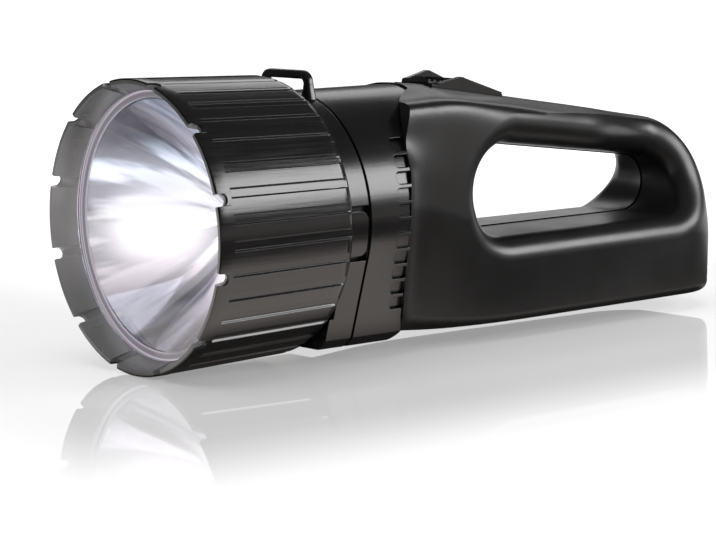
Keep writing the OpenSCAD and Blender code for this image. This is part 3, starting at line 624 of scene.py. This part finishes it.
def opening_outline():
    """Side outline of the finger opening as (y, z, angle of its outward normal).

    Some of its points face the corners of the shell's front edge, so that a column ends in each corner.
    """
    fz, rz = GRIP_FLOOR + GRIP_FRONT_R, GRIP_FLOOR + GRIP_REAR_R
    run = math.hypot(GRIP_REAR_Y - GRIP_FRONT_Y, rz - fz)
    aim = math.atan2(rz - fz, GRIP_REAR_Y - GRIP_FRONT_Y)
    up = aim + math.acos((GRIP_FRONT_R - GRIP_REAR_R) / run)
    low = 1.5 * math.pi

    def arc(y, z, r, turns):
        return [(y + r * math.cos(a), z + r * math.sin(a), a) for a in turns]

    corner_y = HANDLE_Y + 0.9
    edge_y = front_y(top_z(104)) + PARTING_GAP
    heights = [over(edge_y)(i / EDGE_STEPS) for i in range(EDGE_STEPS)]
    marks = [(front_y(z) + PARTING_GAP, z) for z in heights] + [(corner_y, bot_z(corner_y))]
    turns = [mix(up, low, i / FRONT_STEPS) for i in range(FRONT_STEPS + 1)]
    turns += [math.atan2(z - fz, y - GRIP_FRONT_Y) % (2 * math.pi) for y, z in marks]
    points = arc(GRIP_FRONT_Y, fz, GRIP_FRONT_R, sorted(turns))
    steps = [i / RUN_STEPS for i in range(1, RUN_STEPS)]
    points += [(mix(GRIP_FRONT_Y, GRIP_REAR_Y, t), GRIP_FLOOR, low) for t in steps]
    turns = [mix(low - 2 * math.pi, up, i / REAR_STEPS) for i in range(REAR_STEPS + 1)]
    points += arc(GRIP_REAR_Y, rz, GRIP_REAR_R, turns)
    first, last = points[0], points[-1]
    points += [(mix(last[0], first[0], t), mix(last[1], first[1], t), up) for t in steps]
    return points


def spread(trace, count):
    """Points at equal steps along a traced line, the first left out."""
    run = [0.0]
    for a, b in zip(trace, trace[1:]):
        run.append(run[-1] + math.dist(a, b))
    made, k = [], 0
    for i in range(1, count + 1):
        want = run[-1] * i / count
        while k < len(run) - 2 and run[k + 1] < want:
            k += 1
        t = clamp01((want - run[k]) / max(1e-9, run[k + 1] - run[k]))
        made.append((mix(trace[k][0], trace[k + 1][0], t), mix(trace[k][1], trace[k + 1][1], t)))
    return made


def shell_column(spot, ledge=0.0):
    """Ring of points across one shell: opening wall, rolled edge, outer side, middle plane.

    The opening wall stands proud by the ledge where the two shells meet.
    """
    y, z, a = spot
    cy, cz = math.cos(a), math.sin(a)

    def off(d):
        return side_x(y + d * cy, z + d * cz)

    reach, pace = 0.0, 0.5
    while pace > 1e-4:
        if inside(y + (reach + pace) * cy, z + (reach + pace) * cz):
            reach += pace
        else:
            pace /= 2
    r = GRIP_EDGE_R
    d0 = math.tan(math.radians(GRIP_DRAFT * max(0.4, cy))) * (off(r) - r)
    slope = (off(d0 + 1.6 * r) - off(d0 + 0.4 * r)) / (1.2 * r)
    cx = off(d0 + r) - r * math.sqrt(1 + slope * slope)
    stop = math.pi / 2 - math.atan(slope)
    ring = [(SEAM_GAP, SEAM_DEPTH), (SEAM_LIP, 0.02 - ledge)]
    ring += [(cx * t, d0 * t) for t in (0.25, 0.5, 0.75, 0.9)]
    turns = [stop * i / ROLL_STEPS for i in range(ROLL_STEPS + 1)]
    ring += [(cx + r * math.sin(t), d0 + r - r * math.cos(t)) for t in turns]
    end_x, end_d = ring[-1]
    miss = end_x - off(end_d)
    trace = [(end_x, end_d)]
    for i in range(1, TRACE_STEPS + 1):
        d = mix(end_d, reach, 1 - (1 - i / TRACE_STEPS) ** 2.0)
        blend = (1 - clamp01((d - end_d) / MISS_RUN)) ** 2
        trace.append((max(SEAM_EDGE, off(d) + miss * blend), d))
    ring += spread(trace, SIDE_STEPS)
    edge = ring[-1][0]
    ring += [(mix(edge, SEAM_EDGE, t), reach) for t in (0.02, 0.5, 0.98)]
    ring.append((SEAM_GAP, reach - SEAM_EDGE_DEPTH))
    return [(x, y + d * cy, z + d * cz) for x, d in ring]


def switch_map(a, b, h):
    """Point of the switch's own frame: a back along the sloping top, b out of it, h to the left."""
    c, s = math.cos(math.radians(FALL_DEG)), math.sin(math.radians(FALL_DEG))
    return at(h, SWITCH_Y + a * c + b * s, top_z(SWITCH_Y) - a * s + b * c)


def box(a0, b0, a1, b1):
    return [(a0, b0), (a1, b0), (a1, b1), (a0, b1)]


CELL_HALF_PITCH, CELL_BORE_R = 17.1, 17.42
FLANK_BOW, TIP_BOW, BOW_STEPS = 2.1, 2.0, 24
LEAD_R, LEAD_SIDES = 5, 24


def shell_cutters():
    """Rooms inside the shells: hood tongue, cell bay, driver room, switch seat and well, lead ways."""
    h, c = CELL_HALF_PITCH, CELL_BORE_R
    bay = []
    for turn in range(4):
        cx, cz = [(h, h), (-h, h), (-h, -h), (h, -h)][turn]
        bay += [(cx + c * math.cos(math.radians(t)), cz + c * math.sin(math.radians(t)))
                for t in range(turn * 90, turn * 90 + 91, 6)]
    hood_y = HOOD_END + PARTING_GAP - TIP_BOW
    root = (HOOD_HALF, HANDLE_Y + 1.15)
    flank = [root] + bowed(root, (HOOD_TIP, hood_y), FLANK_BOW, BOW_STEPS)
    tip = bowed((-HOOD_TIP, hood_y), (HOOD_TIP, hood_y), TIP_BOW, BOW_STEPS)
    tongue = [(HOOD_HALF, 60)] + flank + tip[-2::-1]
    tongue += [(-x, y) for x, y in reversed(flank)] + [(-HOOD_HALF, 60)]
    return [
        (tongue, 22, 80, along_z),
        (bay, 85, BAY_END, along_y),
        (box(-27, -44.4, 27, -17.1), 150, 260, along_y),
        (box(-3.7, -1.6, 34.0, 20), -11.3, 11.3, switch_map),
        (box(139, 23.0, 168, 44.0), -7.2, 7.2, along_x),
        (circle(LEAD_R, LEAD_SIDES, 0, 29.4), BAY_END - 1, 141, along_y),
        (circle(LEAD_R, LEAD_SIDES, 0, -26), BAY_END - 1, 151, along_y),
    ]


SCREW_SPOTS = [(140, -38), (269, -36), (271, 2), (222.8, 22.8), (127, 40.3)]
BORE_R, BORE_SIDES, BORE_END = 3.1, 32, -8.2


def paint_seam_shade(mesh):
    """Painted shade: dull black with almost no shine on the narrow faces where the two shells meet,
    standing in for shade in the gap.
    """
    mesh.materials.append(SEAM_PAINTED_SHADE)
    for face in mesh.polygons:
        if abs(face.center.x) < SEAM_SHADE_HALF * MM:
            face.material_index = 1


def make_shells():
    columns = [shell_column(p) for p in opening_outline()]
    left = carve(grid_mesh("left_shell_skin", columns), shell_cutters())
    add_piece("left_shell_skin", left, BODY, "main", "left_shell")
    paint_seam_shade(left)
    turned = [[(-x, y, z) for x, y, z in shell_column(p, SEAM_STEP)] for p in opening_outline()]
    bores = [(circle(BORE_R, BORE_SIDES, y, z), -60, BORE_END, along_x) for y, z in SCREW_SPOTS]
    right = carve(grid_mesh("right_shell_skin", turned), shell_cutters() + bores)
    add_piece("right_shell_skin", right, BODY, "main", "right_shell")
    paint_seam_shade(right)


# Lamp head
RIM_R, RIM_WALL = 54.003, 2.2
BARREL_LEN, SHOULDER_LEN = 62.6, 5.6
REAR_R, END_R, SKIRT_BORE = 52.303, 48.003, 45.003
NOTCHES, NOTCH_W, NOTCH_DEPTH = 12, 4.5, 4.0
GROOVES, GROOVE_W, GROOVE_DEPTH, GROOVE_START = 36, 3.3, 0.9, 6.5
NOTCH_PHASE, GROOVE_PHASE = 0.5, -0.28
LENS_DEPTH, LENS_T, SEAL_T, LENS_R = 10.2, 2.6, 0.8, 49.703
BOWL_LIP, BOWL_WALL, BOWL_HOLE_R = 3.8, 1.6, 9.0
PLATE_Y = BARREL_LEN - 10
BOWL_Y = LENS_DEPTH + LENS_T + SEAL_T
LEDGE_Y = BOWL_Y + BOWL_WALL + 0.2
SHOULDER_Y = BARREL_LEN - SHOULDER_LEN
TAB_LOW, TAB_HIGH, TAB_R, TAB_SLOT_R, TAB_ROOT_Y = -12.85, 4.25, 46, 46.65, 57.55
PLATE_SEAT_R, PLATE_SEAT_T = 34, 5
SINK_T, BOARD_GAP = 3.1, 0.2
BOWL_STEPS, BOWL_SIDES, BOWL_LEAN = 48, 160, 0.4
RIM_EDGE = 0.6


def barrel_r(y):
    if y <= SHOULDER_Y:
        return mix(RIM_R, REAR_R, y / SHOULDER_Y)
    return mix(END_R, REAR_R, math.sqrt(max(0.0, 1 - ((y - SHOULDER_Y) / SHOULDER_LEN) ** 2)))


def near(turn, count, phase):
    """Distance along the rim from the nearest of a ring of equally spaced features."""
    pitch = 2 * math.pi / count
    u = (turn - phase * pitch + pitch / 2) % pitch - pitch / 2
    return abs(u) * RIM_R


def barrel_turns():
    """Angles of the barrel's columns: close together at the edges of grooves, notches and tab slots."""
    marks = []

    def mark(count, phase, offsets):
        for i in range(count):
            middle = (i + phase) * 2 * math.pi / count
            for s in offsets:
                marks.extend((middle - s / RIM_R, middle + s / RIM_R))

    half = GROOVE_W / 2
    mark(GROOVES, GROOVE_PHASE, [half + s for s in (1.6, 0.3, 0.1, -0.05, -0.2, -0.8)] + [0.0])
    half = NOTCH_W / 2
    arch = [half * t for t in (0.96, 0.86, 0.7, 0.5, 0.25, 0.0)]
    mark(NOTCHES, NOTCH_PHASE, [half + 0.02, half - 0.02] + arch)
    for z in (TAB_LOW, TAB_HIGH):
        for side in (0.01, -0.01):
            a = math.asin((z + side) / TAB_R)
            marks += [a, math.pi - a]
    marks = sorted(m % (2 * math.pi) for m in marks)
    kept = marks[:1]
    for m in marks[1:]:
        if m - kept[-1] > 0.0001:
            kept.append(m)
    return kept


def barrel_column(turn):
    s = near(turn, NOTCHES, NOTCH_PHASE)
    half = NOTCH_W / 2
    front = NOTCH_DEPTH - half + math.sqrt(half * half - s * s) if s < half else 0.0
    g = near(turn, GROOVES, GROOVE_PHASE)
    dip = 1 - clamp01((g - GROOVE_W / 2 + 0.2) / 0.5)
    dip = dip * dip * (3 - 2 * dip)
    lean = (RIM_R - REAR_R) / SHOULDER_Y
    ring = [(RIM_R - RIM_WALL + 0.3, front), (RIM_R - 0.7, front), (RIM_R - 0.35, front + 0.08),
            (RIM_R - 0.1, front + 0.28), (barrel_r(0.65), front + 0.65)]
    ring += [(barrel_r(y), y) for y in (5.4, GROOVE_START - 0.15)]
    runs = [GROOVE_START + 0.15, GROOVE_START + 0.5, 12, 22, 32, 42, 50, 54]
    runs += [SHOULDER_Y + SHOULDER_LEN * math.sin(math.radians(t)) for t in range(0, 91, 9)]
    for y in runs:
        floor = RIM_R - GROOVE_DEPTH - lean * y
        ring.append((barrel_r(y) - dip * max(0.0, barrel_r(y) - floor), y))
    z = TAB_R * math.sin(turn)
    slot = TAB_SLOT_R if TAB_LOW < z < TAB_HIGH else SKIRT_BORE
    ring += [(slot, BARREL_LEN), (slot, TAB_ROOT_Y), (SKIRT_BORE, TAB_ROOT_Y - 0.01), (SKIRT_BORE, PLATE_Y)]
    ring += [(PLATE_SEAT_R, PLATE_Y), (PLATE_SEAT_R, PLATE_Y - PLATE_SEAT_T)]
    ring += [(LENS_R - 0.4, PLATE_Y - PLATE_SEAT_T), (LENS_R - 0.4, LEDGE_Y + 4.5)]
    ring += [(LENS_R - 2.2, LEDGE_Y + 2.4), (LENS_R - 2.2, LEDGE_Y), (LENS_R + 0.2, LEDGE_Y)]
    ring += [(LENS_R + 0.2, LENS_DEPTH - 0.1), (LENS_R - 0.5, LENS_DEPTH - 0.1)]
    ring.append((LENS_R - 0.5, LENS_DEPTH - 0.7))
    ring += [(RIM_R - RIM_WALL, max(front + 0.4, 0.4))]
    return [(r * math.cos(turn), y, r * math.sin(turn)) for r, y in ring]


def make_head():
    mesh = grid_mesh("barrel_skin", [barrel_column(t) for t in barrel_turns()])
    add_piece("barrel_skin", mesh, HEAD, "head", "head_barrel")
    mesh.materials.append(RIM_INNER_PAINTED_GLOW)
    mesh.materials.append(LENS_EDGE_HIGHLIGHT)
    for face in mesh.polygons:
        y = (face.center.y - FRONT_Y) / MM
        out = Vector((face.center.x, 0, face.center.z - AXIS_Z))
        r = out.length / MM
        # The rim's inner wall in front of the lens gets the grey plastic with its painted glow
        within = LENS_R - RIM_EDGE < r < RIM_R - RIM_EDGE and y < LENS_DEPTH - RIM_EDGE
        if within and face.normal.dot(out) < 0.3 * out.length:
            face.material_index = 1
        # The lip at the lens edge gets the bright metal of the painted highlight
        elif LENS_R - RIM_EDGE < r < LENS_R - 0.4 and y < LENS_DEPTH:
            face.material_index = 2
    mouth = LENS_R - BOWL_LIP
    floor = PLATE_Y - SINK_T - BOARD_GAP - BOWL_WALL
    depth = (floor - BOWL_Y) / (1 - (BOWL_HOLE_R / mouth) ** 2)
    steps = [mix(mouth, BOWL_HOLE_R, i / BOWL_STEPS) for i in range(BOWL_STEPS + 1)]
    inner = [(r, BOWL_Y + depth * (1 - (r / mouth) ** 2)) for r in steps]
    outer = [(r + BOWL_LEAN, y + BOWL_WALL) for r, y in reversed(inner)]
    profile = inner + outer + [(LENS_R - 0.1, BOWL_Y + BOWL_WALL), (LENS_R - 0.1, BOWL_Y)]
    turns = [2 * math.pi * i / BOWL_SIDES for i in range(BOWL_SIDES)]
    columns = [[(r * math.cos(t), y, r * math.sin(t)) for r, y in profile] for t in turns]
    add_piece("bowl_skin", grid_mesh("bowl_skin", columns), MIRROR_PAINTED_GLOW, "head", "reflector")


# Strap loop: a rounded bar bent over the collar, with flared feet
EYE_HALF, EYE_TOP, EYE_BAR, EYE_BEND = 14.6, 53.8, 3.3, 3.4
EYE_SIDES, EYE_SQUARE, EYE_FLARE, EYE_FLARE_POWER, EYE_LIFT = 24, 0.6, 0.8, 1.5, 0.02
COLLAR_R = SKIRT_BORE + 0.75


def squared(t):
    """Point at an angle on a circle of radius 1 that is pulled out towards a square."""
    c, s = math.cos(t), math.sin(t)
    return math.copysign(abs(c) ** EYE_SQUARE, c), math.copysign(abs(s) ** EYE_SQUARE, s)


def make_strap_loop():
    low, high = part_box("strap_loop")
    middle_y = ((low.y + high.y) / 2 - FRONT_Y) / MM
    run, top = EYE_HALF - EYE_BAR / 2, EYE_TOP - EYE_BAR / 2
    foot = math.sqrt(COLLAR_R ** 2 - run ** 2)
    half = [(run, mix(foot, top - EYE_BEND, t), 0.0) for t in (0.0, 0.3, 0.6, 1.0)]
    bend = [math.radians(15 * i) for i in range(1, 7)]
    half += [(run + EYE_BEND * (math.cos(a) - 1), top + EYE_BEND * (math.sin(a) - 1), a) for a in bend]
    path = half + [(-x, z, math.pi - a) for x, z, a in reversed(half)]
    made = bmesh.new()
    rings = []
    for x, z, a in path:
        rise = clamp01((z - foot) / (top - EYE_BEND - foot))
        flare = 1 + EYE_FLARE * (1 - rise) ** EYE_FLARE_POWER
        ring = []
        for k in range(EYE_SIDES):
            u, w = squared(2 * math.pi * k / EYE_SIDES)
            u *= EYE_BAR / 2 * flare
            w *= EYE_BAR / 2 * math.sqrt(flare)
            px, pz = x + u * math.cos(a), z + u * math.sin(a)
            if z == foot:
                pz = math.sqrt(COLLAR_R ** 2 - px ** 2) + EYE_LIFT
            ring.append(made.verts.new(at(px, middle_y + w, pz)))
        rings.append(ring)
    for here, there in zip(rings, rings[1:]):
        for k in range(EYE_SIDES):
            made.faces.new((here[k], there[k], there[k - 1], here[k - 1]))
    made.faces.new(rings[0])
    made.faces.new(rings[-1])
    bmesh.ops.recalc_face_normals(made, faces=made.faces)
    mesh = bpy.data.meshes.new("strap_loop_skin")
    made.to_mesh(mesh)
    made.free()
    add_piece("strap_loop_skin", mesh, TRIM, "main", "strap_loop")


# Stage, in metres
FLOOR_HALF = 9.0
CARD_BACK, CARD_HALF, CARD_HEIGHT = 0.22, 0.6, 0.085
REST_SIDE, LAMP_SIDE, LAMP_END = 0.034, 0.037, 0.143
VIEW_X, VIEW_Y = 0.77, 0.636
ROOM_DIM = 0.06


def make_stage():
    """White floor: white to the camera with the object's shadow, and a mirror image that soon fades; to
    glossy rays it shows painted light round the lamp and painted shadow under it.
    """
    mesh = bpy.data.meshes.new("floor")
    made = bmesh.new()
    bmesh.ops.create_grid(made, x_segments=1, y_segments=1, size=FLOOR_HALF)
    made.to_mesh(mesh)
    made.free()
    floor = bpy.data.objects.new("floor", mesh)
    scene.collection.objects.link(floor)
    s = Shader("floor_white")
    x, y, _ = s.axes()
    beside = s.math("DIVIDE", s.math("SUBTRACT", x, REST_SIDE), VIEW_X)
    before = s.math("DIVIDE", s.math("SUBTRACT", -LAMP_END, y), VIEW_Y)
    ahead = s.math("MAXIMUM", beside, before)
    far = s.hypot(x, y)
    path = s.node("ShaderNodeLightPath")
    matt = s.node("ShaderNodeBsdfDiffuse")
    matt.inputs["Color"].default_value = (0.8, 0.8, 0.8, 1.0)
    lit = s.node("ShaderNodeEmission")
    s.link(s.span(far, 0.25, 0.8, 0.54, 1.0), lit.inputs["Strength"])
    plain = s.node("ShaderNodeAddShader")
    s.link(matt.outputs["BSDF"], plain.inputs[0])
    s.link(lit.outputs["Emission"], plain.inputs[1])
    gloss = s.node("ShaderNodeBsdfGlossy")
    gloss.inputs["Roughness"].default_value = 0.0
    fading = s.span(ahead, 0.09, 0.215, 0.45, 0.0)
    mirrored = s.math("MULTIPLY", fading, s.span(ahead, -0.2, -0.1, 0.0, 1.0))
    mirrored = s.math("MULTIPLY", mirrored, s.span(far, 0.26, 0.42, 1.0, 0.0))
    seen = s.mixed(mirrored, plain.outputs["Shader"], gloss.outputs["BSDF"])
    # Painted light and painted shadow that only glossy rays see: bright close round the lamp, widest by its
    # head, and far off on the +x side, dark under the lamp
    outside = s.math("MAXIMUM", s.math("SUBTRACT", s.math("ABSOLUTE", x), LAMP_SIDE),
                     s.math("SUBTRACT", s.math("ABSOLUTE", y), LAMP_END))
    along = s.math("SUBTRACT", y, outside)
    limit = s.span(along, -0.056, -0.04, 0.085, -0.004)
    close = s.span(s.math("SUBTRACT", outside, limit), 0.0, 0.035, 1.0, 0.06)
    distant = s.math("MULTIPLY", s.span(far, 0.4, 0.75, 0.0, 0.5), s.span(x, 0.0, 0.25, 0.0, 1.0))
    open_light = s.math("MAXIMUM", close, distant)
    table_painted_light = s.node("ShaderNodeEmission")
    table_painted_light.inputs["Color"].default_value = (1.0, 0.91, 0.86, 1.0)
    shade = s.span(outside, -0.003, 0.016, 0.04, 1.0)
    s.link(s.math("MULTIPLY", open_light, shade), table_painted_light.inputs["Strength"])
    other = s.mixed(path.outputs["Is Glossy Ray"], matt.outputs["BSDF"], table_painted_light.outputs["Emission"])
    s.link(s.mixed(path.outputs["Is Camera Ray"], other, seen), s.out.inputs["Surface"])
    mesh.materials.append(s.mat)


def area_light(name, place, target, size, power):
    data = bpy.data.lights.new(name, "AREA")
    data.shape = "RECTANGLE"
    data.size, data.size_y = size
    data.energy = power
    lamp = bpy.data.objects.new(name, data)
    scene.collection.objects.link(lamp)
    lamp.location = place
    lamp.rotation_euler = (Vector(target) - Vector(place)).to_track_quat("-Z", "Y").to_euler()
    return lamp


def make_card():
    """Low white card behind the object, the background that glossy faces show."""
    s = Shader("card_white")
    white = s.node("ShaderNodeEmission")
    s.link(white.outputs["Emission"], s.out.inputs["Surface"])
    mesh = bpy.data.meshes.new("card")
    across = Vector((-LOOK.y, LOOK.x, 0)).normalized()
    behind = Vector((LOOK.x, LOOK.y, 0)).normalized() * CARD_BACK
    low = [behind - across * CARD_HALF, behind + across * CARD_HALF]
    rise = Vector((0, 0, CARD_HEIGHT))
    mesh.from_pydata([low[0], low[1], low[1] + rise, low[0] + rise], [], [(0, 1, 2, 3)])
    mesh.materials.append(s.mat)
    card = bpy.data.objects.new("card", mesh)
    scene.collection.objects.link(card)
    card.visible_camera = False
    card.visible_diffuse = False
    card.visible_transmission = False
    card.visible_shadow = False


def make_world():
    """White to the camera, through glass and in the floor's mirror image, and a dim room to the rest."""
    world = bpy.data.worlds.new("studio")
    scene.world = world
    world.use_nodes = True
    tree = world.node_tree
    back = tree.nodes["Background"]
    back.inputs["Color"].default_value = (1.0, 1.0, 1.0, 1.0)
    path = tree.nodes.new("ShaderNodeLightPath")
    mixer = tree.nodes.new("ShaderNodeMix")
    mixer.inputs["A"].default_value = ROOM_DIM
    mixer.inputs["B"].default_value = 1.0
    white = path.outputs["Is Camera Ray"]
    for ray in ("Is Singular Ray", "Is Transmission Ray"):
        either = tree.nodes.new("ShaderNodeMath")
        either.operation = "MAXIMUM"
        tree.links.new(white, either.inputs[0])
        tree.links.new(path.outputs[ray], either.inputs[1])
        white = either.outputs["Value"]
    tree.links.new(white, mixer.inputs["Factor"])
    tree.links.new(mixer.outputs["Result"], back.inputs["Strength"])


make_camera()
dress_nodes()
make_strap_loop()
make_shells()
make_head()
make_stage()
make_card()
make_world()
area_light("rear_box", place=(0.75, 0.7, 0.47), target=(0, 0, 0.05), size=(0.8, 0.42), power=6.0)
area_light("back_box", place=(-0.87, 0.72, 0.7), target=(0, 0, 0.05), size=(1.0, 0.35), power=1.5)
overhead = area_light("top_box", place=(0.1, -0.2, 1.4), target=(0, 0, 0), size=(1.4, 1.4), power=11.0)
overhead.visible_glossy = False
scene.view_settings.view_transform = "Standard"
